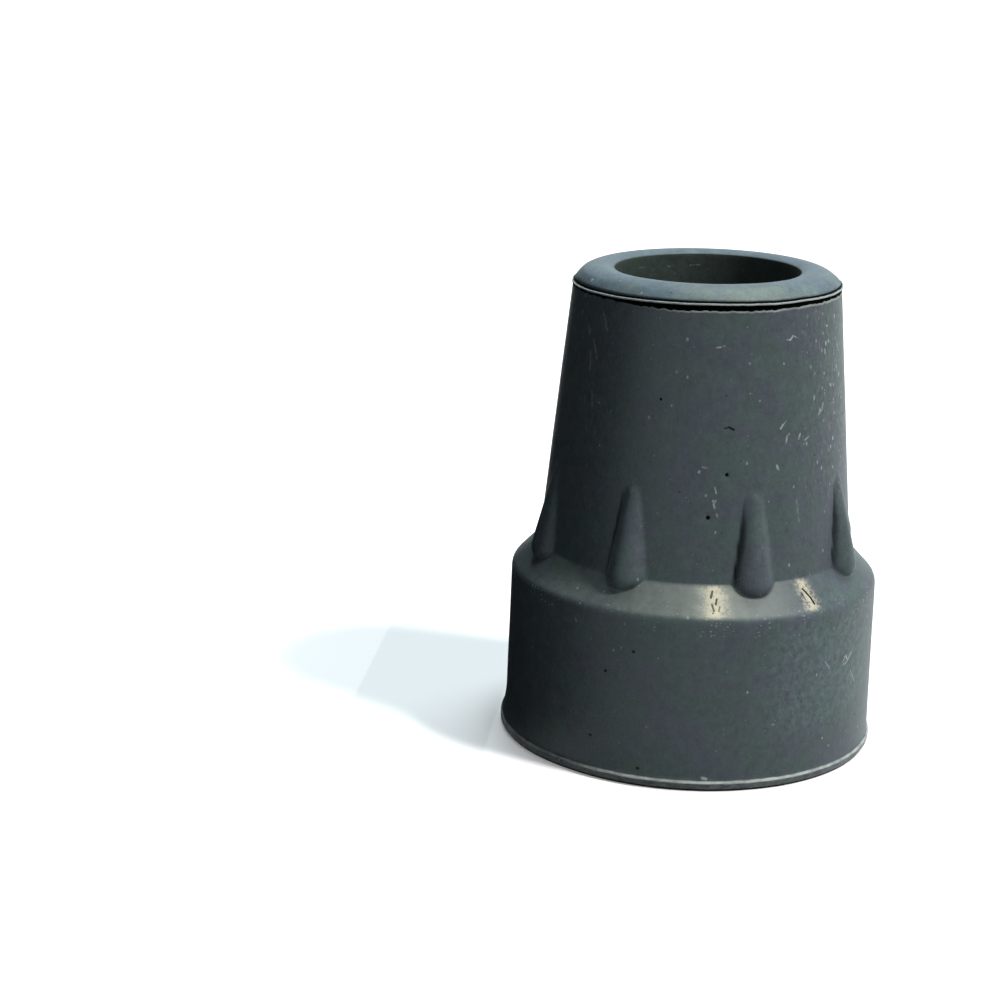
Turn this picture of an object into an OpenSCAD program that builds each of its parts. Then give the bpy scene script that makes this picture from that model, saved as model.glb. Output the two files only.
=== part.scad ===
// Moulded rubber tip for the foot of a round chair leg.
// One solid: a wide base, a tapered shaft with a blind socket for the leg,
// short buttress ribs at the foot of the shaft, and a ringed tread underneath.
// It stands on its tread, with the socket's axis along +Z.

/* [Socket] */
// Diameter of the leg that the socket grips
bore_d = 22; // [19:0.5:25.4]
// Solid rubber between the ground and the bottom of the socket
sole_t = 17; // [12:0.5:24]
// Radius of the fillet round the bottom of the socket
bore_fillet = 1.5; // [0.5:0.1:3]

/* [Shaft] */
// Length of the shaft, from its foot to the mouth's parting line
shaft_h = 32; // [24:0.5:44]
// Wall round the socket at the mouth
mouth_wall = 4.8; // [3.5:0.1:6.5]
// Wall round the socket at the foot of the shaft
foot_wall = 7.8; // [6.6:0.1:10]
// Height of the socket's edge above the mouth's parting line
lip_h = 1.2; // [0.6:0.1:2.5]
// How far the rounded lip bulges out of a straight slope
lip_crown = 1; // [0.3:0.02:1.2]

/* [Base] */
// Height of the base's wall
base_h = 20.6; // [14:0.2:28]
// Height of the sloping shoulder on the base
shoulder_h = 3.3; // [2:0.1:5]
// Width of the sloping shoulder
shoulder_w = 3.3; // [3:0.1:6]
// How much wider the base is at the ground than at the shoulder
base_draft = 0.25; // [0:0.05:1]
// Radius of the edge between wall and shoulder
shoulder_round = 1.4; // [0.2:0.1:2]
// Radius of the fillet at the foot of the shaft
foot_round = 0.4; // [0.2:0.1:1.5]

/* [Ribs] */
// Number of buttress ribs round the shaft
rib_count = 8; // [4:1:10]
// Width of a rib at its round nose
rib_w = 4.8; // [3:0.1:5.6]
// Width of the rib's round crown, where it runs into the shaft
rib_top_w = 3.2; // [1:0.1:3.4]
// Height of a rib's crown above the shoulder
rib_h = 10.8; // [8:0.2:18]
// How far the rib's axis lies inside the shaft at the nose
rib_sink = 0.5; // [0:0.1:1]
// How far the rib's axis lies inside the shaft at the crown
rib_top_sink = 1.25; // [0.9:0.05:1.8]

/* [Mould lines] */
// How far the thin fin stands out at the mouth's parting line
top_fin = 0.3; // [0.1:0.05:0.6]
// Thickness of that fin
top_fin_t = 0.3; // [0.2:0.05:0.6]
// How far the trimmed rim stands out round the ground edge
ground_fin = 0.6; // [0.2:0.05:1]
// Height of that trimmed rim
ground_fin_t = 1.3; // [0.8:0.1:2]

/* [Tread] */
// Width of the flat rim that stands on the ground
rim_w = 2; // [1.2:0.1:2.6]
// Width of the sloping dish inside the rim
dish_w = 4.3; // [2.5:0.1:4.8]
// Depth of the dish at its inner edge
dish_h = 4.6; // [3:0.1:6]
// Depth of the grooves above the ground
groove_h = 9; // [6.4:0.1:10]
// Width of the raised ring between the grooves
ring_w = 3; // [2:0.1:4]
// Radius of the middle of the raised ring
ring_r = 10.3; // [9.4:0.1:11]
// Height of the raised ring's face above the ground
ring_up = 5.2; // [4:0.1:6]
// Diameter of the boss in the middle
boss_d = 9; // [6:0.2:10.4]
// Height of the boss's face above the ground
boss_up = 5.3; // [4:0.1:6]
// How much the sides of ring, boss and groove slope
tread_draft = 0.7; // [0.3:0.05:0.9]
// Radius of the tread's edges
edge_round = 0.3; // [0.2:0.05:0.6]
// Radius of the fillets in the bottom of the grooves
groove_fillet = 0.8; // [0.3:0.05:1]

/* [Hidden] */
rubber = [0.27, 0.31, 0.31];
arc_steps = 6;
end_steps = 8;

// Radii, each from the socket outwards
bore_r = bore_d / 2;
mouth_r = bore_r + mouth_wall;
foot_r = bore_r + foot_wall;
base_r = foot_r + shoulder_w;
ground_r = base_r + base_draft;

// Heights, each from the ground upwards
foot_z = base_h + shoulder_h;
parting_z = foot_z + shaft_h;
top_z = parting_z + lip_h;

// Tread radii, from the ground edge inwards
rim_r = ground_r - rim_w;
dish_r = rim_r - dish_w;
ring_outer_r = ring_r + ring_w / 2;
ring_inner_r = ring_r - ring_w / 2;
boss_r = boss_d / 2;

function unit(v) = v / norm(v);
function turn(a) = a > 180 ? a - 360 : a < -180 ? a + 360 : a;

// An arc that is tangent to the lines a-b and b-c, where b is [r, z, radius]
function rounded_corner(a, b, c) =
    let (p = [b[0], b[1]],
         to_a = unit([a[0], a[1]] - p),
         to_c = unit([c[0], c[1]] - p),
         half = acos(to_a * to_c) / 2,
         centre = p + unit(to_a + to_c) * b[2] / sin(half),
         from = p + to_a * b[2] / tan(half) - centre,
         upto = p + to_c * b[2] / tan(half) - centre,
         start = atan2(from[1], from[0]),
         sweep = turn(atan2(upto[1], upto[0]) - start))
    [for (i = [0 : arc_steps])
        centre + b[2] * [cos(start + sweep * i / arc_steps), sin(start + sweep * i / arc_steps)]];

// A closed outline from corners [r, z] or [r, z, radius]
function outline(corners) =
    let (n = len(corners))
    [for (i = [0 : n - 1])
        each len(corners[i]) == 2
            ? [corners[i]]
            : rounded_corner(corners[(i + n - 1) % n], corners[i], corners[(i + 1) % n])];

// An arc from p to q that bulges to the right of its way by crown, without its ends
function crowned(p, q, crown) =
    let (chord = norm(q - p),
         r = (chord * chord / 4 + crown * crown) / (2 * crown),
         along = unit(q - p),
         out = [along[1], -along[0]],
         centre = (p + q) / 2 - out * (r - crown),
         half = asin(chord / 2 / r))
    [for (i = [1 : arc_steps - 1])
        let (a = -half + 2 * half * i / arc_steps)
        centre + r * (out * cos(a) + along * sin(a))];

// Radius of the shaft's wall at height z
function shaft_r(z) = foot_r + (mouth_r - foot_r) * (z - foot_z) / shaft_h;

// The hollow under the base, from the axis outwards: boss, groove, ring, groove, dish and rim
tread = [
    [0, boss_up],
    [boss_r, boss_up, edge_round],
    [boss_r + tread_draft, groove_h, groove_fillet],
    [ring_inner_r - tread_draft, groove_h, groove_fillet],
    [ring_inner_r, ring_up, edge_round],
    [ring_outer_r, ring_up, edge_round],
    [ring_outer_r + tread_draft, groove_h, groove_fillet],
    [dish_r - tread_draft, groove_h, groove_fillet],
    [dish_r, dish_h, edge_round],
    [rim_r, 0, edge_round]];

// The outside, from the ground up: trimmed rim, base, shoulder, shaft and thin fin
outside = [
    [ground_r - ground_fin / 2, 0, 0.2],
    [ground_r + ground_fin, ground_fin_t * 0.5, 0.2],
    [ground_r + ground_fin, ground_fin_t * 0.85],
    [ground_r, ground_fin_t],
    [base_r, base_h, shoulder_round],
    [foot_r, foot_z, foot_round],
    [shaft_r(parting_z - top_fin_t), parting_z - top_fin_t],
    [mouth_r + top_fin, parting_z - top_fin_t * 0.6],
    [mouth_r + top_fin, parting_z - top_fin_t * 0.3]];

// The rounded lip, from the parting line to the edge of the socket
lip = concat(
    [[mouth_r, parting_z]],
    crowned([mouth_r, parting_z], [bore_r, top_z], lip_crown),
    [[bore_r, top_z]]);

// The blind socket, straight from its edge to the fillet round its bottom
socket = [
    [bore_r, sole_t, bore_fillet],
    [0, sole_t]];

// One section turned round the axis, with the socket and the tread in it
module turned_form() {
    rotate_extrude($fn = 96)
        polygon(outline(concat(tread, outside, lip, socket)));
}

// The arc of a rib's round end, at a height on its axis
function round_end(up, r, from, to) = [
    for (i = [0 : end_steps])
        let (a = from + (to - from) * i / end_steps)
        [r * cos(a), up + r * sin(a)]];

// One rib: a cone that runs into the shaft, from a round nose on the shoulder to a smaller crown
module rib() {
    nose_r = rib_w / 2;
    crown_r = rib_top_w / 2;
    foot = [foot_r - rib_sink, foot_z + rib_sink];
    top_at = foot_z + rib_h - crown_r;
    top = [shaft_r(top_at) - rib_top_sink, top_at];
    len = norm(top - foot);
    lean = atan2(top[0] - foot[0], top[1] - foot[1]);
    // The cone touches both rounds as a tangent
    flank = asin((nose_r - crown_r) / len);
    translate([foot[0], 0, foot[1]])
        rotate([0, lean, 0])
            rotate_extrude($fn = 48)
                polygon(concat(
                    round_end(0, nose_r, -90, flank),
                    round_end(len, crown_r, flank, 90)));
}

// The ribs stand half a pitch off the X axis
module ribs() {
    for (i = [0 : rib_count - 1])
        rotate([0, 0, (i + 0.5) * 360 / rib_count])
            rib();
}

module leg_tip() {
    color(rubber) {
        turned_form();
        ribs();
    }
}

leg_tip();
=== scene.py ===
"""Looks of a moulded rubber chair leg tip, in metres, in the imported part's own frame."""
import math
from collections import namedtuple

import bpy
from mathutils import Matrix, Quaternion, Vector


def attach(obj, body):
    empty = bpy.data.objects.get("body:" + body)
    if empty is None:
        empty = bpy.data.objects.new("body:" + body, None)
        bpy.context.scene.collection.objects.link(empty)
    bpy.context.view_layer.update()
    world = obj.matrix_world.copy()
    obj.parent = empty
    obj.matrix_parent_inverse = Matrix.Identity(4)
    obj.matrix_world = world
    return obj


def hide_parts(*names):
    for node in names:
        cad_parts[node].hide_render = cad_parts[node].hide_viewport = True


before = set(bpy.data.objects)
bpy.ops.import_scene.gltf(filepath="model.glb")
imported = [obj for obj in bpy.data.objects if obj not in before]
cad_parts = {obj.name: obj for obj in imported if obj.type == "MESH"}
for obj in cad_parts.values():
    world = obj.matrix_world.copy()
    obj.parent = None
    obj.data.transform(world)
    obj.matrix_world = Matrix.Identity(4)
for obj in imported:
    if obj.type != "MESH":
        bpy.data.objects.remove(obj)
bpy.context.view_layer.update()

MM = 0.001
TAU = 2 * math.pi

# ---------------------------------------------------------------- sizes of the tip, in millimetres

BORE_R = 11.0
SOLE_T = 17.0
MOUTH_R = 15.8
FOOT_R = 18.8
BASE_R = 22.1
GROUND_R = 22.35
GROUND_FIN = 0.59
BASE_H = 20.5
FOOT_Z = 23.9
PARTING_Z = 55.9
TOP_Z = 57.1
LIP_CROWN = 0.9
LIP_STEPS = 22
# Over how many steps of the lip the parting line's dip dies away
LIP_DIP_STEPS = 6

RIM_R = 20.35
DISH_R = 16.05
DISH_H = 4.6
GROOVE_H = 9.0
RING_OUTER_R = 11.8
RING_INNER_R = 8.8
RING_UP = 5.2
BOSS_R = 4.5
BOSS_UP = 5.3
TREAD_DRAFT = 0.7

RIB_COUNT = 8
RIB_NOSE_R = 2.4
RIB_NOSE_AT = (18.3, 24.15)
RIB_TOP_R = 1.4
RIB_TOP_AT = (16.85, 33.3)
RIB_FAN_R = 17.0
RIB_FILLET = 0.25
RIB_TURN = math.radians(0.5)
# One rib stands a little off its place: which, counted round from +X, and by how much
STRAY_RIB = 5
STRAY_TURN = math.radians(-0.9)

TURN_STEPS = 360
# How much closer the steps of the turn stand at a rib than between two ribs
RIB_CROWDING = 0.45
ARC_STEP = math.radians(18)

# ---------------------------------------------------------------- the section that is turned

# radius rounds the corner; spacing is the step along the line to the next corner. The others
# say how much of each rule a point follows: the ribs, the thin fin at the mouth, the ragged
# edge of the crevice under it, the parting line's dip, the painted shade in the crevice under
# the fin and the crease over it, and the trimmed rim round the ground.
CHANNELS = ("rib", "fin", "crevice", "parting", "dirt", "rim")
Corner = namedtuple(
    "Corner", ("r", "z", "radius", "spacing") + CHANNELS, defaults=(0, 0.8) + (0,) * len(CHANNELS))

# The shares that the material reads too
PAINTED = ("fin", "crevice", "dirt", "rim")
# What the growing of the ribs works out: the painted shade along each rib's left foot, and the rib's face
RIB_SHADE = "rib_shade"
RIB_FACE = "rib_face"

TREAD = [
    Corner(0, BOSS_UP, spacing=2.2),
    Corner(BOSS_R, BOSS_UP, 0.6, 2.0),
    Corner(BOSS_R + TREAD_DRAFT, GROOVE_H, 0.8, 1.4),
    Corner(RING_INNER_R - TREAD_DRAFT, GROOVE_H, 0.8, 2.0),
    Corner(RING_INNER_R, RING_UP, 0.5, 1.4),
    Corner(RING_OUTER_R, RING_UP, 0.5, 2.0),
    Corner(RING_OUTER_R + TREAD_DRAFT, GROOVE_H, 0.8, 1.4),
    Corner(DISH_R - TREAD_DRAFT, GROOVE_H, 0.8, 2.0),
    Corner(DISH_R, DISH_H, 0.5, 1.8),
    Corner(RIM_R, 0.0, 0.4, 0.8),
]


def shaft_r(z):
    """Radius of the shaft's tapering wall at a height."""
    return FOOT_R + (MOUTH_R - FOOT_R) * (z - FOOT_Z) / (PARTING_Z - FOOT_Z)


OUTSIDE = [
    Corner(GROUND_R - 0.15, 0.0, 0.15, 0.2, rim=0.4),
    Corner(GROUND_R + 0.1, 0.35, 0.1, 0.2, rim=0.6),
    Corner(GROUND_R + 0.25, 1.02, 0.06, 0.08, rim=1),
    Corner(GROUND_R + 0.02, 1.3, 0, 0.45, rim=0.8),
    Corner(GROUND_R - 0.01, 1.42, 0, 0.45),
    Corner(GROUND_R - 0.03, 2.6, 0, 0.8),
    Corner(BASE_R, BASE_H, 1.3, 0.36, rib=1),
    Corner(FOOT_R, FOOT_Z, 0.35, 0.4, rib=1),
    Corner(shaft_r(40.5), 40.5, 0, 1.0, rib=1),
    Corner(shaft_r(54.3), 54.3, 0, 0.2, parting=0.4),
    Corner(shaft_r(54.98), 54.98, 0.07, 0.1, crevice=1, parting=1),
    # The crevice under the fin and the crease over it carry painted shade
    Corner(shaft_r(55.0) - 0.22, 55.05, 0.05, 0.12, crevice=1, parting=1, dirt=1),
    Corner(MOUTH_R - 0.62, 55.45, 0.1, 0.14, parting=1, dirt=1),
    Corner(MOUTH_R - 0.2, 55.64, 0.05, 0.1, parting=1, dirt=1),
    Corner(MOUTH_R, 55.68, 0.03, 0.08, fin=1, parting=1),
    Corner(MOUTH_R, 55.84, 0.04, 0.08, fin=1, parting=1),
    Corner(MOUTH_R - 0.26, 55.92, 0, 0.1, parting=1, dirt=1),
    Corner(MOUTH_R - 0.3, 56.0, 0, 0.1, parting=1, dirt=0.4),
]


def lip():
    """The rounded lip, an arc from the parting line to the edge of the socket."""
    chord = Vector((BORE_R - MOUTH_R, TOP_Z - PARTING_Z))
    radius = (chord.length_squared / 4 + LIP_CROWN ** 2) / (2 * LIP_CROWN)
    along = chord.normalized()
    out = Vector((along.y, -along.x))
    centre = Vector((MOUTH_R, PARTING_Z)) + chord / 2 - out * (radius - LIP_CROWN)
    half = math.asin(chord.length / 2 / radius)
    first_above_fin = 1
    points = []
    for i in range(first_above_fin, LIP_STEPS):
        turn = half * (2 * i / LIP_STEPS - 1)
        point = centre + radius * (out * math.cos(turn) + along * math.sin(turn))
        points.append(Corner(point.x, point.y, 0, 1, parting=max(0, 1 - i / LIP_DIP_STEPS)))
    return points


SOCKET = [
    Corner(BORE_R, TOP_Z, 0.12, 0.5),
    Corner(BORE_R, TOP_Z - 3, 0, 2.4),
    Corner(BORE_R, SOLE_T, 1.5, 2.4),
    Corner(0, SOLE_T, spacing=1),
]


def rounded(before, corner, after):
    """The points of a corner's arc, or the corner itself where it is sharp."""
    here = Vector((corner.r, corner.z))
    if not corner.radius:
        return [here]
    to_before = (Vector((before.r, before.z)) - here).normalized()
    to_after = (Vector((after.r, after.z)) - here).normalized()
    half = to_before.angle(to_after) / 2
    centre = here + (to_before + to_after).normalized() * corner.radius / math.sin(half)
    reach = corner.radius / math.tan(half)
    start = here + to_before * reach - centre
    sweep = start.angle_signed(here + to_after * reach - centre)
    steps = max(2, math.ceil(abs(sweep) / ARC_STEP))
    points = []
    for i in range(steps + 1):
        arm = start.copy()
        arm.rotate(Matrix.Rotation(-sweep * i / steps, 2))
        points.append(centre + arm)
    return points


def section_points():
    """The whole section as points from the axis round to the axis, each with its rules' shares."""
    corners = TREAD + OUTSIDE + lip() + SOCKET
    points = []
    for i, corner in enumerate(corners):
        inner = 0 < i < len(corners) - 1
        arc = rounded(corners[i - 1], corner, corners[i + 1]) if inner else [
            Vector((corner.r, corner.z))]
        shares = [getattr(corner, name) for name in CHANNELS]
        if points:
            last, last_shares = points[-1]
            spacing = corners[i - 1].spacing
            steps = max(1, round((arc[0] - last).length / spacing))
            for k in range(1, steps):
                t = k / steps
                points.append((
                    last.lerp(arc[0], t),
                    [a + (b - a) * t for a, b in zip(last_shares, shares)]))
        points += [(p, shares) for p in arc]
    return points


def make_section():
    """The section as a chain of mesh edges in the XZ half plane, with its shares as attributes."""
    points = section_points()
    mesh = bpy.data.meshes.new("tip_section")
    mesh.from_pydata(
        [(p.x * MM, 0, p.y * MM) for p, _ in points],
        [(i, i + 1) for i in range(len(points) - 1)],
        [])
    for n, name in enumerate(CHANNELS):
        layer = mesh.attributes.new(name, "FLOAT", "POINT")
        layer.data.foreach_set("value", [shares[n] for _, shares in points])
    section = bpy.data.objects.new("tip_section", mesh)
    bpy.context.scene.collection.objects.link(section)
    return section


# ---------------------------------------------------------------- sums on the sockets of a node tree

class Field:
    """A number that varies over a surface: an output socket on which sums can be written."""

    def __init__(self, tree, socket):
        self.tree = tree
        self.socket = socket

    def math(self, operation, *others):
        return maths(self.tree, operation, self, *others)

    def __add__(self, other):
        return self.math("ADD", other)

    def __sub__(self, other):
        return self.math("SUBTRACT", other)

    def __rsub__(self, other):
        return maths(self.tree, "SUBTRACT", other, self)

    def __mul__(self, other):
        return self.math("MULTIPLY", other)

    def __truediv__(self, other):
        return self.math("DIVIDE", other)

    def __rtruediv__(self, other):
        return maths(self.tree, "DIVIDE", other, self)

    __radd__ = __add__
    __rmul__ = __mul__


def feed(tree, socket, value):
    """Links a field or a socket to an input, or writes a plain value into it."""
    if isinstance(value, Field):
        tree.links.new(value.socket, socket)
    elif isinstance(value, bpy.types.NodeSocket):
        tree.links.new(value, socket)
    else:
        socket.default_value = value


def add(tree, kind, inputs=None, out=0, **settings):
    """Adds a node with its settings and inputs, and returns one output as a field."""
    node = tree.nodes.new(kind)
    for name, value in settings.items():
        setattr(node, name, value)
    for key, value in (inputs or {}).items():
        feed(tree, node.inputs[key], value)
    return Field(tree, node.outputs[out])


def maths(tree, operation, *values):
    return add(tree, "ShaderNodeMath", dict(enumerate(values)), operation=operation)


def vector(tree, x, y, z):
    return add(tree, "ShaderNodeCombineXYZ", {"X": x, "Y": y, "Z": z})


def split(tree, value):
    node = tree.nodes.new("ShaderNodeSeparateXYZ")
    feed(tree, node.inputs[0], value)
    return [Field(tree, output) for output in node.outputs]


def noise(tree, at, scale, detail=2.0, seed=0.0, roughness=0.5):
    """Noise round zero, from about -0.5 to 0.5; the seed is its fourth coordinate."""
    return add(
        tree, "ShaderNodeTexNoise",
        {"Vector": at, "W": seed, "Scale": scale, "Detail": detail, "Roughness": roughness},
        noise_dimensions="4D") - 0.5


def ramp(tree, value, low, high):
    """0 below low and 1 above high, with a soft step between; low may be the larger one."""
    return add(
        tree, "ShaderNodeMapRange",
        {"Value": value, "From Min": low, "From Max": high},
        interpolation_type="SMOOTHSTEP")


# ---------------------------------------------------------------- the tip's shape, by rule

# Small blow holes in the moulding: place (mm), radius and depth (mm)
PITS = [
    ((-4.23, -16.31, 44.76), 0.17, 0.15),
    ((3.65, -17.23, 36.57), 0.25, 0.35),
    ((1.78, -17.99, 31.61), 0.25, 0.35),
]

# Points of the turned mesh that lie nearer than this are one point, in metres
MERGE_DISTANCE = 1e-6

TIP_INPUTS = [
    ("Turn Steps", "NodeSocketInt", TURN_STEPS),
    ("Rib Count", "NodeSocketInt", RIB_COUNT),
    ("Rib Crowding", "NodeSocketFloat", RIB_CROWDING),
    ("Rib Nose Radius", "NodeSocketFloat", RIB_NOSE_R * MM),
    ("Rib Nose Reach", "NodeSocketFloat", RIB_NOSE_AT[0] * MM),
    ("Rib Nose Height", "NodeSocketFloat", RIB_NOSE_AT[1] * MM),
    ("Rib Top Radius", "NodeSocketFloat", RIB_TOP_R * MM),
    ("Rib Top Reach", "NodeSocketFloat", RIB_TOP_AT[0] * MM),
    ("Rib Top Height", "NodeSocketFloat", RIB_TOP_AT[1] * MM),
    ("Rib Fan Radius", "NodeSocketFloat", RIB_FAN_R * MM),
    ("Rib Fillet", "NodeSocketFloat", RIB_FILLET * MM),
    ("Rib Turn", "NodeSocketFloat", RIB_TURN),
    ("Stray Rib", "NodeSocketFloat", STRAY_RIB),
    ("Stray Turn", "NodeSocketFloat", STRAY_TURN),
    ("Fin Reach", "NodeSocketFloat", 0.27 * MM),
    ("Crevice Raggedness", "NodeSocketFloat", 0.75 * MM),
    ("Parting Dip", "NodeSocketFloat", 0.3 * MM),
    ("Parting Waver", "NodeSocketFloat", 0.3 * MM),
    ("Mouth Tilt", "NodeSocketFloat", 0.12 * MM),
    ("Rim Reach", "NodeSocketFloat", 0.26 * MM),
    ("Flare", "NodeSocketFloat", 0.45 * MM),
    ("Flare Height", "NodeSocketFloat", 5.5 * MM),
    ("Waviness", "NodeSocketFloat", 0.12 * MM),
    ("Seed", "NodeSocketFloat", 7.0),
]


def rib_growth(tree, size, angle, r, z):
    """How far a point of the section moves out, and down, to lie on the nearest rib, how much
    painted shade it gets along the rib's left, shaded foot, and whether it lies on the rib's face."""
    pitch = TAU / size["Rib Count"]
    turns = (angle - pitch * 0.5) / pitch
    rib = turns.math("ROUND")
    stray = rib.math("COMPARE", size["Stray Rib"], 0.5) * size["Stray Turn"]
    aside = (turns - rib) * pitch - stray - size["Rib Turn"]
    nose_z = size["Rib Nose Height"]
    level = z.math("MAXIMUM", nose_z).math("MINIMUM", size["Rib Top Height"])
    up = (level - nose_z) / (size["Rib Top Height"] - nose_z)
    reach = size["Rib Nose Reach"] + (size["Rib Top Reach"] - size["Rib Nose Reach"]) * up
    radius = size["Rib Nose Radius"] + (size["Rib Top Radius"] - size["Rib Nose Radius"]) * up
    # The way out: level along the rib and round its top, and fanning down round its nose
    drop = level - z
    below = drop.math("MAXIMUM", 0.0)
    dip = below.math("ARCTAN2", (r - size["Rib Fan Radius"]).math("MAXIMUM", 0.5 * MM))
    out, down = dip.math("COSINE"), dip.math("SINE")
    # From the rib's round to the point, along, across and up
    along = r * aside.math("COSINE") - reach
    across = r * aside.math("SINE")
    toward = out * (along * aside.math("COSINE") + across * aside.math("SINE")) + down * below
    beyond = along * along + across * across + drop * drop - radius * radius
    inside = toward * toward - beyond
    root = inside.math("ABSOLUTE").math("SQRT") * inside.math("SIGN")
    grow = maths(tree, "SMOOTH_MAX", root - toward, 0.0, size["Rib Fillet"])
    # Painted shade: a dark line along the rib's foot on its left side, which the key lamp leaves in shade
    near_foot = 1 - ramp(tree, (root - toward).math("ABSOLUTE"), 0.1 * MM, 0.9 * MM)
    on_left = ramp(tree, across * -1, 0.9 * MM, 1.5 * MM) * ramp(
        tree, z - nose_z, -0.8 * MM, 0.6 * MM)
    face = ramp(tree, root - toward, -0.05 * MM, 0.15 * MM)
    return grow * out, grow * down, near_foot * on_left, face


def build_tip_tree():
    """Turns the section round the axis, grows the ribs on it and roughens the moulding's edges."""
    tree = bpy.data.node_groups.new("ribbed_turned_tip", "GeometryNodeTree")
    tree.interface.new_socket("Geometry", in_out="INPUT", socket_type="NodeSocketGeometry")
    identifiers = {}
    for name, kind, value in TIP_INPUTS:
        socket = tree.interface.new_socket(name, in_out="INPUT", socket_type=kind)
        socket.default_value = value
        identifiers[name] = socket.identifier
    rubber = tree.interface.new_socket(
        "Material", in_out="INPUT", socket_type="NodeSocketMaterial")
    identifiers["Material"] = rubber.identifier
    tree.interface.new_socket("Geometry", in_out="OUTPUT", socket_type="NodeSocketGeometry")
    given = tree.nodes.new("NodeGroupInput")
    size = {name: Field(tree, given.outputs[name]) for name, _, _ in TIP_INPUTS}
    section = given.outputs["Geometry"]
    seed = size["Seed"]

    # A grid: its columns are the steps of the turn and its rows the points of the section
    rows = add(tree, "GeometryNodeAttributeDomainSize", {0: section})
    grid = add(tree, "GeometryNodeMeshGrid", {
        "Size X": 1.0, "Size Y": 1.0, "Vertices X": size["Turn Steps"] + 1, "Vertices Y": rows})
    index = add(tree, "GeometryNodeInputIndex")
    column = (index / rows).math("FLOOR")
    row = index - column * rows

    def from_section(kind, value):
        node = tree.nodes.new("GeometryNodeSampleIndex")
        node.data_type = kind
        feed(tree, node.inputs["Geometry"], section)
        feed(tree, node.inputs["Value"], value)
        feed(tree, node.inputs["Index"], row)
        return Field(tree, node.outputs[0])

    r, _, z = split(tree, from_section("FLOAT_VECTOR", add(tree, "GeometryNodeInputPosition")))
    share = {
        name: from_section("FLOAT", add(
            tree, "GeometryNodeInputNamedAttribute", {"Name": name}, data_type="FLOAT"))
        for name in CHANNELS}

    # The steps crowd together at the ribs, where the wall turns sharply
    even = column / size["Turn Steps"] * TAU
    pitch = TAU / size["Rib Count"]
    crowd = ((even - pitch * 0.5) * size["Rib Count"]).math("SINE")
    angle = even - crowd * size["Rib Crowding"] / size["Rib Count"]

    out, down, rib_shade, face = rib_growth(tree, size, angle, r, z)
    r = r + out * share["rib"]
    z = z - down * share["rib"]

    # Round the turn, for what is ragged along an edge
    across, deep = angle.math("COSINE"), angle.math("SINE")
    circle = vector(tree, across, deep, 0.0)
    ragged = noise(tree, circle, scale=9.0, detail=6.0, seed=seed, roughness=0.62)
    nicks = ramp(tree, noise(tree, circle, scale=22.0, detail=2.0, seed=seed + 3), 0.1, 0.32)
    r = r + share["fin"] * size["Fin Reach"] * (ragged * 1.3 + 0.62 - nicks * 0.5)
    scallops = noise(tree, circle, scale=24.0, detail=3.0, seed=seed + 11, roughness=0.6)
    closing = (1 - ramp(tree, across, -0.85, -0.1)) * 0.34 + ramp(tree, across, 0.3, 0.9) * 0.18
    z = z + share["crevice"] * (size["Crevice Raggedness"] * scallops + closing * MM)
    # The parting line dips to the left and wavers, and the whole mouth leans that way a little
    waver = noise(tree, circle, scale=5.0, detail=5.0, seed=seed + 13, roughness=0.7)
    z = z + share["parting"] * (
        size["Parting Dip"] * across.math("MINIMUM", 0.0) + size["Parting Waver"] * waver)
    z = z + ramp(tree, z, 44 * MM, 55 * MM) * size["Mouth Tilt"] * (across - 0.35)
    along_rim = vector(tree, across, deep, z * 300)
    trimmed = noise(tree, along_rim, scale=12.0, detail=5.0, seed=seed + 23, roughness=0.65)
    r = r + share["rim"] * size["Rim Reach"] * (trimmed * 1.4 + 0.1)
    z = z + share["rim"] * size["Rim Reach"] * ramp(tree, z, 0.0, 0.5 * MM) * noise(
        tree, circle, scale=16.0, detail=4.0, seed=seed + 31) * 0.9

    # The foot of the wall flares on one side, and the whole moulding is a little uneven
    foot = 1 - ramp(tree, z, 0.4 * MM, size["Flare Height"])
    side = ramp(tree, across * -1, 0.55, 1.0)
    outer = ramp(tree, r, 21.5 * MM, 22 * MM)
    r = r + size["Flare"] * foot * foot * side * outer
    place = vector(tree, r * across, r * deep, z)
    uneven = noise(tree, place, scale=90.0, detail=1.5, seed=seed + 41)
    wall = ramp(tree, r, 12 * MM, 14 * MM) * ramp(tree, z, 1.3 * MM, 4 * MM)
    r = r + size["Waviness"] * uneven * wall
    r = r.math("MINIMUM", (GROUND_R + GROUND_FIN) * MM)
    place = vector(tree, r * across, r * deep, z)

    hole = None
    for at, radius, depth in PITS:
        gap = add(tree, "ShaderNodeVectorMath", {0: place, 1: [c * MM for c in at]},
                  out="Value", operation="DISTANCE")
        dent = (1 - ramp(tree, gap, 0.3 * radius * MM, 1.4 * radius * MM)) * (depth * MM)
        hole = dent if hole is None else hole + dent
    r = r - hole
    place = vector(tree, r * across, r * deep, z)

    marked = grid
    painted = {name: share[name] for name in PAINTED}
    painted[RIB_SHADE] = rib_shade * share["rib"]
    painted[RIB_FACE] = face * share["rib"]
    for name, value in painted.items():
        marked = add(
            tree, "GeometryNodeStoreNamedAttribute",
            {"Geometry": marked, "Name": name, "Value": value},
            data_type="FLOAT", domain="POINT")
    turned = add(tree, "GeometryNodeSetPosition", {"Geometry": marked, "Position": place})
    closed = add(tree, "GeometryNodeMergeByDistance", {
        "Geometry": turned, "Distance": MERGE_DISTANCE})
    smooth = add(tree, "GeometryNodeSetShadeSmooth", {"Geometry": closed, "Shade Smooth": True})
    whole = add(tree, "GeometryNodeRealizeInstances", {"Geometry": smooth})
    finished = add(tree, "GeometryNodeSetMaterial", {
        "Geometry": whole, "Material": given.outputs["Material"]})
    result = tree.nodes.new("NodeGroupOutput")
    tree.links.new(finished.socket, result.inputs["Geometry"])
    return tree, identifiers


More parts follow.
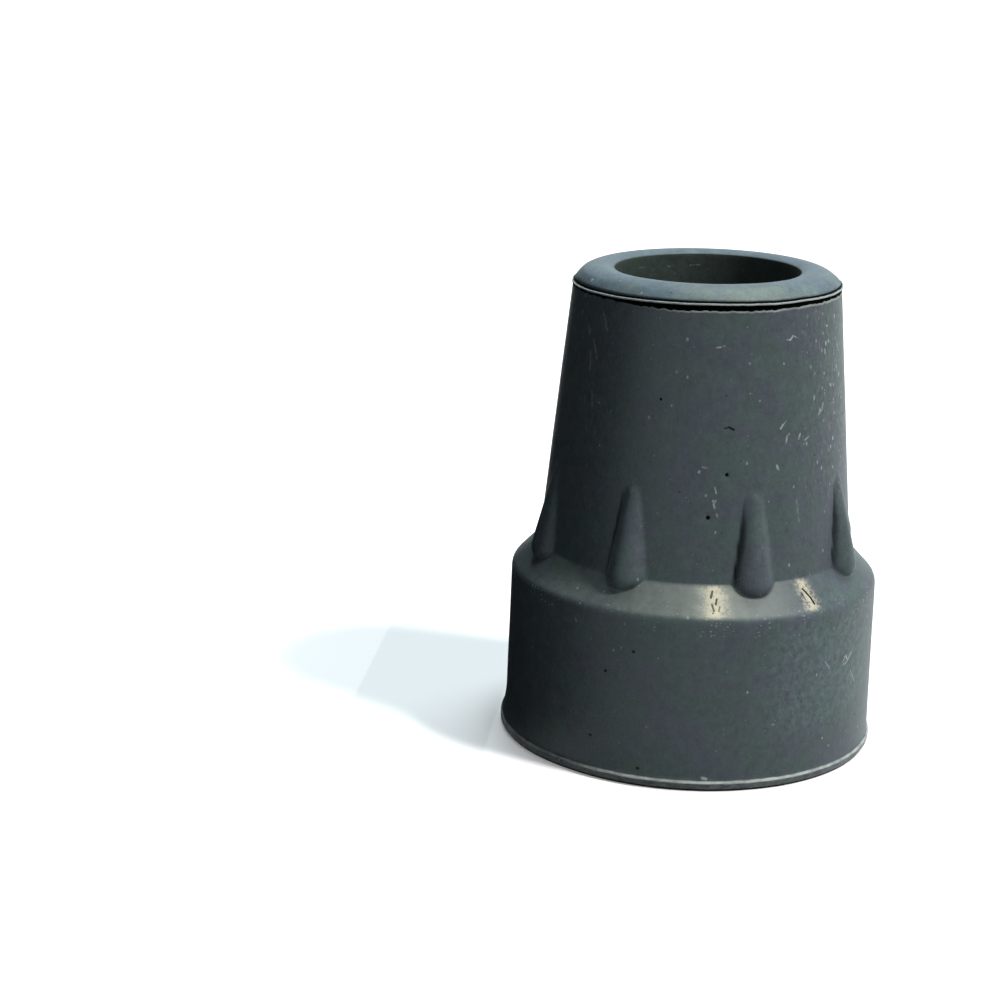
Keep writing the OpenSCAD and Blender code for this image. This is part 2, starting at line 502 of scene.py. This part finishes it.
def make_tip(material):
    """The rubber tip as one closed mesh."""
    section = make_section()
    tree, identifiers = build_tip_tree()
    modifier = section.modifiers.new("ribbed_turned_tip", "NODES")
    modifier.node_group = tree
    for name, _, value in TIP_INPUTS:
        modifier[identifiers[name]] = value
    modifier[identifiers["Material"]] = material
    depsgraph = bpy.context.evaluated_depsgraph_get()
    mesh = bpy.data.meshes.new_from_object(section.evaluated_get(depsgraph))
    mesh.name = "leg_tip_rubber"
    bpy.data.objects.remove(section)
    tip = bpy.data.objects.new("leg_tip_rubber", mesh)
    bpy.context.scene.collection.objects.link(tip)
    return tip


# ---------------------------------------------------------------- materials

def new_material(name):
    material = bpy.data.materials.new(name)
    material.use_nodes = True
    return material, material.node_tree, material.node_tree.nodes["Principled BSDF"]


def seen_directly(tree):
    """1 for the camera's rays and the mirror-like ones, and 0 for those that only light things."""
    rays = tree.nodes.new("ShaderNodeLightPath")
    mirrored = maths(
        tree, "MAXIMUM", rays.outputs["Is Glossy Ray"], rays.outputs["Is Transmission Ray"])
    return maths(tree, "MAXIMUM", rays.outputs["Is Camera Ray"], mirrored)


def blend(tree, factor, under, over):
    """One colour over another, by a factor."""
    node = tree.nodes.new("ShaderNodeMix")
    node.data_type = "RGBA"
    for index, value in ((0, factor), (6, under), (7, over)):
        feed(tree, node.inputs[index], value)
    return Field(tree, node.outputs[2])


def within(tree, value, low, high, soft):
    """1 between low and high, with soft ends."""
    return ramp(tree, value, low - soft, low + soft) * (1 - ramp(tree, value, high - soft, high + soft))


def shifted(tree, at, seed):
    """The same places, moved far off, so that a pattern comes out anew."""
    return add(tree, "ShaderNodeVectorMath", {0: at, 1: (seed * 17.3, seed * -9.1, seed * 5.7)})


def stretched(tree, at, across, up):
    """The same places with the pattern's scales across and up."""
    return add(tree, "ShaderNodeVectorMath", {0: at, 1: (across, across, up)}, operation="MULTIPLY")


def specks(tree, at, spacing, size, kept, seed):
    """Dots strewn over the surface: their spacing and radius in mm, and the share that is kept."""
    cells = tree.nodes.new("ShaderNodeTexVoronoi")
    feed(tree, cells.inputs["Vector"], shifted(tree, at, seed))
    cells.inputs["Scale"].default_value = 1 / spacing
    chance, big, _ = split(tree, cells.outputs["Color"])
    gap = Field(tree, cells.outputs["Distance"]) * spacing
    reach = (big * 0.8 + 0.4) * size
    return (1 - ramp(tree, gap / reach, 0.5, 1.1)) * (1 - ramp(tree, chance, kept, kept + 0.02))


def make_stroke_group():
    """A short mark: 1 near the line from Start to End, in mm, and 0 past half its width. Its
    edge is sharp at a softness of 0."""
    tree = bpy.data.node_groups.new("stroke", "ShaderNodeTree")
    for name in ("Point", "Start", "End"):
        tree.interface.new_socket(name, in_out="INPUT", socket_type="NodeSocketVector")
    for name in ("Half Width", "Softness"):
        tree.interface.new_socket(name, in_out="INPUT", socket_type="NodeSocketFloat")
    tree.interface.new_socket("Mask", in_out="OUTPUT", socket_type="NodeSocketFloat")
    given = tree.nodes.new("NodeGroupInput")

    def vectors(operation, a, b, out="Vector"):
        return add(tree, "ShaderNodeVectorMath", {0: a, 1: b}, out=out, operation=operation)

    along = vectors("SUBTRACT", given.outputs["End"], given.outputs["Start"])
    to_point = vectors("SUBTRACT", given.outputs["Point"], given.outputs["Start"])
    share = vectors("DOT_PRODUCT", to_point, along, "Value") / vectors(
        "DOT_PRODUCT", along, along, "Value")
    share = share.math("MAXIMUM", 0.0).math("MINIMUM", 1.0)
    nearest = add(
        tree, "ShaderNodeVectorMath", {0: along, "Scale": share}, operation="SCALE")
    gap = vectors("DISTANCE", to_point, nearest, "Value") / Field(tree, given.outputs["Half Width"])
    soft = Field(tree, given.outputs["Softness"])
    result = tree.nodes.new("NodeGroupOutput")
    feed(tree, result.inputs["Mask"], 1 - ramp(tree, gap, 1 - soft, soft + 1))
    return tree


def on_wall(azimuth, z):
    """The place on the outside at an azimuth from the front, in degrees, and a height."""
    if z >= FOOT_Z:
        r = shaft_r(z)
    elif z <= BASE_H:
        r = GROUND_R + (BASE_R - GROUND_R) * z / BASE_H
    else:
        r = BASE_R + (FOOT_R - BASE_R) * (z - BASE_H) / (FOOT_Z - BASE_H)
    return in_round(azimuth, z, r)


def in_round(azimuth, z, r):
    turn = math.radians(azimuth)
    return (r * math.sin(turn), -r * math.cos(turn), z)


def strokes(tree, at, group, marks, width, softness):
    """All the marks of one kind together, the strongest on top; their half widths are scaled."""
    total = None
    for start, end, half_width, strength in marks:
        node = tree.nodes.new("ShaderNodeGroup")
        node.node_tree = group
        feed(tree, node.inputs["Point"], at)
        node.inputs["Start"].default_value = start
        node.inputs["End"].default_value = end
        node.inputs["Half Width"].default_value = half_width * width
        node.inputs["Softness"].default_value = softness
        mask = Field(tree, node.outputs["Mask"]) * strength
        total = mask if total is None else total.math("MAXIMUM", mask)
    return total


def wall_marks(marks):
    """Marks on the outside: (azimuth, height) of both ends, half width in mm and strength."""
    return [(on_wall(*start), on_wall(*end), half, strength) for start, end, half, strength in marks]


def sunk(at, depth):
    """The place that lies a depth nearer to the axis."""
    x, y, z = at
    kept = 1 - depth / math.hypot(x, y)
    return (x * kept, y * kept, z)


# Lint, scratches and pale chips on the outside
PALE_MARKS = wall_marks([
    ((6.0, 50.9), (7.8, 51.0), 0.12, 1), ((7.8, 51.0), (9.3, 51.15), 0.1, 0.7),
    ((36.3, 51.6), (37.8, 51.6), 0.12, 0.9), ((37.8, 51.6), (39.2, 52.0), 0.13, 1),
    ((39.2, 52.0), (40.6, 51.8), 0.1, 0.7),
    ((33.4, 41.6), (34.3, 42.0), 0.14, 0.9), ((34.3, 42.0), (36.0, 42.4), 0.1, 0.6),
    ((36.0, 39.9), (36.2, 40.6), 0.14, 0.8), ((36.2, 40.6), (37.4, 40.9), 0.12, 0.6),
    ((42.1, 40.1), (42.6, 40.7), 0.14, 0.8), ((45.3, 39.9), (47.3, 40.2), 0.14, 0.6),
    ((32.5, 36.9), (31.9, 37.4), 0.16, 0.7), ((34.6, 49.0), (34.7, 48.9), 0.13, 0.6),
    ((60.8, 52.5), (60.9, 52.4), 0.15, 0.8), ((58.8, 49.3), (58.5, 49.8), 0.15, 0.8),
    ((57.8, 47.1), (57.9, 47.0), 0.15, 0.7), ((70.8, 50.0), (72.0, 49.1), 0.15, 0.8),
    ((56.7, 43.7), (55.9, 43.0), 0.14, 0.6), ((55.9, 43.0), (53.4, 42.5), 0.12, 0.5),
    ((1.6, 36.8), (1.8, 36.9), 0.17, 0.7), ((2.8, 37.4), (4.3, 37.3), 0.14, 0.5),
    ((7.7, 35.1), (8.2, 34.5), 0.15, 0.7), ((7.2, 33.6), (7.9, 32.8), 0.15, 0.7),
    ((8.8, 32.0), (8.9, 31.8), 0.16, 0.6), ((19.6, 49.2), (19.8, 49.2), 0.13, 0.5),
    ((24.1, 44.9), (24.3, 44.9), 0.13, 0.5),
    ((55.7, 13.6), (57.2, 14.2), 0.13, 1), ((57.2, 14.2), (58.6, 13.4), 0.13, 0.9),
    ((58.6, 13.4), (60.3, 14.2), 0.14, 1), ((56.4, 13.2), (58.0, 13.3), 0.12, 0.7),
    ((60.6, 12.0), (64.0, 10.2), 0.1, 0.6), ((46.7, 14.3), (49.1, 13.3), 0.14, 0.4),
    ((19.2, 12.1), (19.4, 12.0), 0.15, 0.8), ((28.1, 7.9), (28.4, 7.8), 0.13, 0.4),
    ((47.3, 4.9), (47.5, 4.8), 0.14, 0.6), ((50.3, 3.7), (50.6, 3.6), 0.13, 0.5),
    ((7.0, 1.7), (8.2, 1.6), 0.2, 1), ((-35.6, 18.7), (-35.0, 18.4), 0.16, 0.6),
    ((-54.2, 51.5), (-52.9, 50.6), 0.22, 0.3), ((-49.5, 50.0), (-46.3, 48.0), 0.2, 0.25),
    ((-45.2, 53.4), (-42.2, 51.5), 0.2, 0.25), ((-51.0, 48.6), (-49.8, 46.5), 0.22, 0.25),
    ((-47.0, 44.2), (-46.2, 42.6), 0.22, 0.22), ((41.0, 33.1), (42.0, 30.6), 0.2, 0.2),
]) + [
    (in_round(-60.6, 56.5, 15.1), in_round(-60.4, 56.5, 15.1), 0.22, 1),
    (in_round(-130.6, 55.6, BORE_R), in_round(-154, 55.5, BORE_R), 0.1, 0.3),
    (in_round(-167.4, 55.6, BORE_R), in_round(-173.9, 55.7, BORE_R), 0.1, 0.3),
]

# Pits, dark dots and short cuts; the black in the pits and in the nick at the socket's edge is painted
# shade
DARK_MARKS_AND_PIT_SHADE = wall_marks([
    ((10.4, 41.85), (12.1, 42.0), 0.09, 0.7), ((12.1, 42.0), (14.0, 41.7), 0.12, 0.9),
    ((-15.4, 16.2), (-15.2, 16.2), 0.15, 0.8), ((-24.1, 13.3), (-23.9, 13.3), 0.16, 0.8),
    ((-28.2, 5.1), (-28.0, 5.1), 0.15, 0.8), ((-12.4, 2.2), (-12.2, 2.2), 0.17, 0.8),
    ((22.8, 24.4), (22.9, 24.4), 0.15, 0.6), ((8.1, 23.3), (7.5, 22.7), 0.13, 0.8),
    ((9.4, 22.6), (9.0, 22.1), 0.12, 0.8), ((7.8, 22.1), (8.3, 21.5), 0.12, 0.7),
    ((10.2, 21.9), (9.8, 21.5), 0.1, 0.6), ((41.2, 22.9), (42.6, 22.0), 0.12, 1),
    ((42.6, 22.0), (42.9, 21.4), 0.12, 1), ((39.9, 22.5), (40.3, 21.9), 0.09, 0.6),
]) + [
    # The pits' black is painted shade inside them
    (at, sunk(at, depth), radius * 0.9, 1) for at, radius, depth in PITS
] + [
    (in_round(-51.0, 56.35, 15.4), in_round(-50.8, 56.35, 15.4), 0.16, 0.8),
    (in_round(-50.7, 57.2, 11.2), in_round(-49.5, 57.2, 11.3), 0.2, 0.7),
]

GREEN_GREY = (0.046, 0.068, 0.068, 1)
BLUE_GREY = (0.051, 0.062, 0.078, 1)
# Painted light on the lip's top: a lighter, bluer sky reflection, and a warm pale highlight mixed with a
# stone-coloured mottle
LIP_SKY_SHEEN = (0.080, 0.122, 0.152, 1)
LIP_STONE_AND_HIGHLIGHT = (0.112, 0.145, 0.128, 1)
# Black for painted shade and dark marks
SHADE_AND_MARK_BLACK = (0.002, 0.003, 0.003, 1)
BLOOM = (0.21, 0.245, 0.25, 1)
# Painted highlight on the front of the shoulder
SHOULDER_HIGHLIGHT = (0.31, 0.34, 0.30, 1)
TEAL_BLOOM = (0.12, 0.175, 0.185, 1)
CHALK = (0.46, 0.51, 0.52, 1)
# Painted highlight along thin edges: the fin, the crevice's lower edge and the rim's ledge
EDGE_HIGHLIGHT = (0.42, 0.46, 0.45, 1)
CUT_EDGE = (0.17, 0.205, 0.205, 1)
# Painted glint on two rubbed places of the shoulder
STRAW_GLINT = (0.68, 0.62, 0.46, 1)
SOCKET_DARK_GREEN = (0.025, 0.038, 0.027, 1)


# Depth of the fine relief, in mm
RELIEF = 0.035
# Places on the outside: azimuth from, upto and softness, then height from, upto and softness
RIGHT_OF_SHAFT = (50, 100, 14), (33, 55, 4)
LEFT_OF_SHAFT = (-62, -36, 8), (38, 55, 4)
RIGHT_OF_BASE = (28, 72, 12), (7, 20, 3)


def make_rubber():
    """Moulded grey rubber, mottled, dusty and rubbed, with painted shade in its crevices and painted
    highlights on its lip, shoulder and edges.
    """
    material, tree, shader = new_material("grey_rubber")
    where = add(tree, "ShaderNodeTexCoord", out="Object")
    at = add(tree, "ShaderNodeVectorMath", {0: where, "Scale": 1 / MM}, operation="SCALE")
    x, y, z = split(tree, at)
    r = (x * x + y * y).math("SQRT")
    azimuth = x.math("ARCTAN2", y * -1) * (360 / TAU)
    group = make_stroke_group()

    def share(name):
        return add(tree, "ShaderNodeAttribute", out="Fac", attribute_name=name)

    def region(place):
        turn, height = place
        return within(tree, azimuth, *turn) * within(tree, z, *height)

    # The rubber's own colour: green and blue clouds, a fine grain and pale clouds of wear
    clouds = ramp(tree, noise(tree, at, scale=0.22, detail=4.0, seed=1, roughness=0.6), -0.12, 0.12)
    colour = blend(tree, clouds, GREEN_GREY, BLUE_GREY)
    grain = noise(tree, at, scale=3.2, detail=3.0, seed=2, roughness=0.7)
    mottle = noise(tree, at, scale=0.7, detail=3.0, seed=3, roughness=0.6)
    right_shaft = region(RIGHT_OF_SHAFT)
    right_wall = region(RIGHT_OF_BASE)
    coarse = right_shaft * 1.6 + right_wall * 1.1
    blotches = noise(
        tree, stretched(tree, at, across=1.9, up=1.0),
        scale=1.0, detail=3.0, seed=15, roughness=0.6)
    tone = grain * (coarse * 0.4 + 0.9) + mottle * 0.85 + blotches * (coarse + 0.45) + 1
    # The inside of the socket is painted darker and greener
    socket_side = (1 - ramp(tree, r, 10.9, 11.2)) * ramp(tree, z, 16.0, 16.8)
    colour = blend(tree, socket_side * 0.85, colour, SOCKET_DARK_GREEN)
    # Painted sky reflection: the up-facing top of the lip is painted lighter and bluer
    lip_side = ramp(tree, z, 55.98, 56.1) * ramp(tree, r, 11.0, 11.25)
    colour = blend(tree, lip_side * (mottle * 0.8 + 0.75), colour, LIP_SKY_SHEEN)
    # Painted highlight mixed with a stone-coloured mottle: pale and warm towards the front and outer edge
    # of the lip
    stone_and_highlight = noise(tree, at, scale=0.3, detail=4.0, seed=14, roughness=0.6)
    stone_and_highlight = stone_and_highlight * 1.6 + within(tree, azimuth, -4, 40, 22) * 0.5
    colour = blend(tree, lip_side * ramp(tree, r, 12.0, 15.2) * ramp(
        tree, stone_and_highlight, -0.12, 0.5), colour, LIP_STONE_AND_HIGHLIGHT)
    colour = add(tree, "ShaderNodeVectorMath", {0: colour, "Scale": tone}, operation="SCALE")

    # Bloom: hazy on the right of the base and streaked on the right of the shaft. A painted
    # highlight, mottled, lightens the front of the shoulder
    haze = ramp(tree, noise(tree, at, scale=1.3, detail=6.0, seed=4, roughness=0.8), -0.16, 0.22)
    streaks = ramp(tree, noise(
        tree, stretched(tree, at, across=1.9, up=0.8),
        scale=1.0, detail=4.0, seed=5, roughness=0.7), 0.0, 0.24)
    left_shaft = region(LEFT_OF_SHAFT)
    outside = ramp(tree, r, 11.3, 12.0)
    on_shoulder = within(tree, z, BASE_H + 0.3, FOOT_Z - 0.1, 0.3) * (1 - share(RIB_FACE))
    smears = ramp(tree, noise(
        tree, stretched(tree, at, across=1.3, up=0.6),
        scale=1.0, detail=4.0, seed=16, roughness=0.7), 0.1, 0.3)
    bloom = (streaks * (right_shaft * 0.5 + left_shaft * 0.22 + 0.05)).math(
        "MAXIMUM", smears * (right_shaft * 0.3 + 0.16))
    colour = blend(tree, bloom * outside, colour, BLOOM)
    # Painted highlight: the front of the shoulder is painted paler, most of all round the first glint
    painted_shoulder_highlight = within(tree, azimuth, -75, 34, 14) * 0.15 + within(
        tree, azimuth, -16, 26, 14) * 0.16 + within(tree, azimuth, 3, 14, 7) * 0.5
    colour = blend(tree, painted_shoulder_highlight * on_shoulder * (mottle * 1.2 + 1) * outside, colour, SHOULDER_HIGHLIGHT)
    colour = blend(tree, haze * (right_wall * 0.62 + 0.12) * outside, colour, TEAL_BLOOM)

    # Scuffs along the shoulder's edge and dust everywhere
    shoulder_edge = within(tree, z, BASE_H - 2.2, BASE_H + 0.6, 0.6) * outside
    chips = specks(
        tree, stretched(tree, at, across=1.0, up=2.0), spacing=0.5, size=0.17, kept=0.6, seed=6)
    chips = chips * shoulder_edge * ramp(
        tree, noise(tree, at, scale=0.3, detail=2.0, seed=7), -0.08, 0.08)
    fine_dust = specks(tree, at, spacing=0.8, size=0.1, kept=0.5, seed=8)
    dust = specks(tree, stretched(tree, at, across=1.0, up=0.7), spacing=1.4, size=0.17, kept=0.4, seed=9)
    crowd = right_shaft * specks(
        tree, stretched(tree, at, across=1.0, up=0.6), spacing=0.8, size=0.19, kept=0.9, seed=10)
    pale = (fine_dust * 0.22).math("MAXIMUM", dust * 0.34).math("MAXIMUM", chips * 0.42).math(
        "MAXIMUM", crowd * 0.6)
    bent = add(tree, "ShaderNodeVectorMath", {
        0: at, 1: vector(tree, grain * 0.3, mottle * 0.5, grain * 0.3)})
    crumbs = ramp(tree, grain, -0.2, 0.06)
    scratched = strokes(tree, bent, group, PALE_MARKS, width=0.78, softness=0.5) * crumbs
    pale = (pale * (outside * 0.75 + 0.25)).math("MAXIMUM", scratched * 0.75)
    colour = blend(tree, pale * ramp(tree, r, 9.5, 10.9), colour, CHALK)

    # Two rubbed places on the shoulder, painted as a grainy straw-pale glint: a painted highlight
    glint_and_rub = on_shoulder * outside * (
        within(tree, azimuth, 6.0, 11.6, 4.6) + within(tree, azimuth, 39.4, 44.0, 3.4) * 0.8)
    glint_and_rub = glint_and_rub * ramp(tree, grain * 1.3 + mottle * 0.5 + glint_and_rub * 0.35, -0.06, 0.3)
    colour = blend(tree, glint_and_rub * 0.88, colour, STRAW_GLINT)

    # The thin fin and the trimmed rim are cut rubber. A painted highlight runs along the fin's
    # edge, the crevice's lower edge and the rim's ledge, and the crevices hold painted shade
    crevice_edge_highlight = ramp(tree, share("crevice"), 0.72, 0.96) * (1 - ramp(tree, share("dirt"), 0.0, 0.3))
    crevice_edge_highlight = crevice_edge_highlight * ramp(tree, azimuth, -40, 4) * (mottle * 1.2 + 0.5)
    colour = blend(tree, crevice_edge_highlight, colour, EDGE_HIGHLIGHT)
    fin_highlight = ramp(tree, share("fin"), 0.55, 0.95)
    colour = blend(tree, fin_highlight * (mottle * 0.9 + 0.75), colour, EDGE_HIGHLIGHT)
    rim = ramp(tree, share("rim"), 0.3, 0.7)
    rough_cut = ramp(tree, noise(
        tree, stretched(tree, at, across=1.0, up=2.4),
        scale=0.9, detail=5.0, seed=12, roughness=0.7), -0.14, 0.12)
    colour = blend(tree, rim * rough_cut * 0.6, colour, CUT_EDGE)
    rim_ledge_highlight = ramp(tree, share("rim"), 0.78, 0.84) * ramp(tree, z, 0.98, 1.12)
    broken = ramp(tree, noise(tree, at, scale=0.5, detail=5.0, seed=17, roughness=0.7), -0.2, 0.1)
    colour = blend(tree, rim_ledge_highlight * (broken * 0.65 + 0.18), colour, EDGE_HIGHLIGHT)
    # Painted contact shadow: a black line along the foot of the rim
    contact_shadow = (1 - ramp(tree, z, 0.2, 0.42)) * ramp(tree, r, 21.8, 22.2)
    dots = specks(tree, at, spacing=1.7, size=0.12, kept=0.35, seed=13) * outside * 0.7
    holes = strokes(tree, at, group, DARK_MARKS_AND_PIT_SHADE, width=1.0, softness=0.25)
    # Painted shade in black: the crevice under the fin and the crease over it, the contact line, the pits
    # and the ribs' left feet; the cuts and dots are dark marks
    dark = (share("dirt") * 1.6).math("MINIMUM", 1.0).math("MAXIMUM", contact_shadow).math(
        "MAXIMUM", holes).math("MAXIMUM", dots).math("MAXIMUM", share(RIB_SHADE) * 0.75)
    colour = blend(tree, dark, colour, SHADE_AND_MARK_BLACK)
    feed(tree, shader.inputs["Base Color"], colour)

    rough = grain * 0.2 + mottle * 0.12 + 0.5 + pale * 0.2 - glint_and_rub * 0.12 + dark * 0.4
    feed(tree, shader.inputs["Roughness"], rough)
    # The painted shade and the dark marks have no shine, which keeps them black
    shine = 1 - dark
    feed(tree, shader.inputs["Specular Tint"], vector(tree, shine, shine, shine))
    shader.inputs["Specular IOR Level"].default_value = 0.25
    height = grain * 0.5 + mottle * 0.5 + pale * 0.3 - dots * 0.6 + rough_cut * rim * 0.8
    bump = add(
        tree, "ShaderNodeBump", {"Height": height, "Strength": 1.0, "Distance": RELIEF * MM},
        out="Normal")
    feed(tree, shader.inputs["Normal"], bump)
    return material


# The floor's paleness as it is seen and as it lights other things, its own glow, and its size
FLOOR_SEEN = 0.86
FLOOR_LIGHTING = 0.2
FLOOR_GLOW = 0.2
FLOOR_REACH = 3.0


def make_floor():
    """A wide pale floor that meets the white surroundings, and keeps the tip's shadow."""
    material, tree, shader = new_material("pale_floor")
    shader.inputs["Roughness"].default_value = 1.0
    shader.inputs["Specular IOR Level"].default_value = 0.0
    shader.inputs["Emission Color"].default_value = (1, 1, 1, 1)
    seen = seen_directly(tree)
    feed(tree, shader.inputs["Emission Strength"], seen * FLOOR_GLOW)
    pale = seen * (FLOOR_SEEN - FLOOR_LIGHTING) + FLOOR_LIGHTING
    feed(tree, shader.inputs["Base Color"], vector(tree, pale, pale, pale))
    mesh = bpy.data.meshes.new("floor")
    far = FLOOR_REACH
    mesh.from_pydata(
        [(-far, -far, 0), (far, -far, 0), (far, far, 0), (-far, far, 0)],
        [], [(0, 1, 2, 3)])
    mesh.materials.append(material)
    floor = bpy.data.objects.new("floor", mesh)
    bpy.context.scene.collection.objects.link(floor)
    return floor


# ---------------------------------------------------------------- light, camera and view

IMAGE_SIZE = 1000
SENSOR_WIDTH = 36.0

# The camera, as its place round the part and where the ground centre falls in the frame
FOCAL_PIXELS = 2311.0
CAMERA_AZIMUTH = math.radians(1.0)
CAMERA_ELEVATION = math.radians(20.77)
CAMERA_DISTANCE = 290.4 * MM
CAMERA_ROLL = math.radians(3.17)
GROUND_CENTRE_PIXEL = (684.5, 721.9)


def orbit(azimuth, elevation):
    """The way from the part to a place round it; azimuth 0 is in front and 90 to the right."""
    level = math.cos(elevation)
    return Vector((
        math.sin(azimuth) * level, -math.cos(azimuth) * level, math.sin(elevation)))


def place_camera():
    """A level orbit round the ground centre, rolled, then swung to put the centre on its pixel."""
    data = bpy.data.cameras.new("camera")
    data.sensor_width = SENSOR_WIDTH
    data.lens = FOCAL_PIXELS * SENSOR_WIDTH / IMAGE_SIZE
    data.clip_start = 0.01
    camera = bpy.data.objects.new("camera", data)
    camera.location = CAMERA_DISTANCE * orbit(CAMERA_AZIMUTH, CAMERA_ELEVATION)
    aim = (-camera.location).to_track_quat("-Z", "Y")
    roll = Quaternion((0, 0, 1), CAMERA_ROLL)
    half = IMAGE_SIZE / 2
    ray = Vector((
        GROUND_CENTRE_PIXEL[0] - half,
        half - GROUND_CENTRE_PIXEL[1],
        -FOCAL_PIXELS))
    swing = Vector((0, 0, -1)).rotation_difference(ray.normalized())
    camera.rotation_mode = "QUATERNION"
    camera.rotation_quaternion = aim @ roll @ swing.inverted()
    bpy.context.scene.collection.objects.link(camera)
    bpy.context.scene.camera = camera


def add_lamp(name, azimuth, elevation, spread, strength, colour, only_fills=False):
    """A far soft lamp; its spread is the angle it fills, as seen from the tip. One that only
    fills casts no shadow and gives no shine."""
    data = bpy.data.lights.new(name, "SUN")
    data.angle = math.radians(spread)
    data.energy = strength
    data.color = colour
    data.use_shadow = not only_fills
    lamp = bpy.data.objects.new(name, data)
    way = orbit(math.radians(azimuth), math.radians(elevation))
    lamp.location = way
    lamp.visible_glossy = not only_fills
    lamp.rotation_mode = "QUATERNION"
    lamp.rotation_quaternion = (-way).to_track_quat("-Z", "Y")
    bpy.context.scene.collection.objects.link(lamp)
    return lamp


# The dark card, in mm: X of its fold and of its near edge, Y of its ends, its height and its
# lift off the floor
CARD_FOLD = -42
CARD_NEAR = -23.5
CARD_FRONT = -34
CARD_BACK = 62
CARD_TOP = 84
CARD_LIFT = 0.05
NEAR_BLACK = (0.02, 0.02, 0.02, 1)


def make_flag():
    """A folded dark card beside the tip, out of the camera's sight, that keeps the white
    surroundings off its shaded side: one leaf stands and the other lies on the floor."""
    material, _, shader = new_material("dark_card")
    shader.inputs["Base Color"].default_value = NEAR_BLACK
    shader.inputs["Roughness"].default_value = 1.0
    shader.inputs["Specular IOR Level"].default_value = 0.0
    fold, near, front, back, top, lift = (
        c * MM for c in (CARD_FOLD, CARD_NEAR, CARD_FRONT, CARD_BACK, CARD_TOP, CARD_LIFT))
    mesh = bpy.data.meshes.new("flag")
    mesh.from_pydata(
        [(near, front, lift), (near, back, lift), (fold, back, lift), (fold, front, lift),
         (fold, back, top), (fold, front, top)],
        [], [(0, 1, 2, 3), (3, 2, 4, 5)])
    mesh.materials.append(material)
    flag = bpy.data.objects.new("flag", mesh)
    flag.visible_camera = False
    flag.visible_shadow = False
    bpy.context.scene.collection.objects.link(flag)
    return flag


# Strength of the surroundings as a light, against 1 where they are seen
EVEN_FILL = 0.16
WARM = (1, 0.97, 0.92)
COOL = (0.82, 0.95, 1)
FAINTLY_COOL = (0.9, 0.97, 1)


def make_world(fill):
    """White where the camera and mirror-like rays look, and a dimmer even fill on the object."""
    world = bpy.data.worlds.new("studio")
    world.use_nodes = True
    bpy.context.scene.world = world
    tree = world.node_tree
    strength = seen_directly(tree) * (1 - fill) + fill
    background = tree.nodes["Background"]
    background.inputs["Color"].default_value = (1, 1, 1, 1)
    feed(tree, background.inputs["Strength"], strength)


rubber = make_rubber()
tip = make_tip(rubber)
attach(tip, "root")
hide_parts("leg_tip")
floor = make_floor()
flag = make_flag()

make_world(EVEN_FILL)
add_lamp("key", azimuth=68, elevation=50, spread=9, strength=3.3, colour=WARM)
add_lamp("top", azimuth=150, elevation=75, spread=32, strength=2.55, colour=COOL)
add_lamp("back", azimuth=186, elevation=14, spread=40, strength=0.9, colour=FAINTLY_COOL, only_fills=True)
place_camera()
bpy.context.scene.view_settings.view_transform = "Standard"
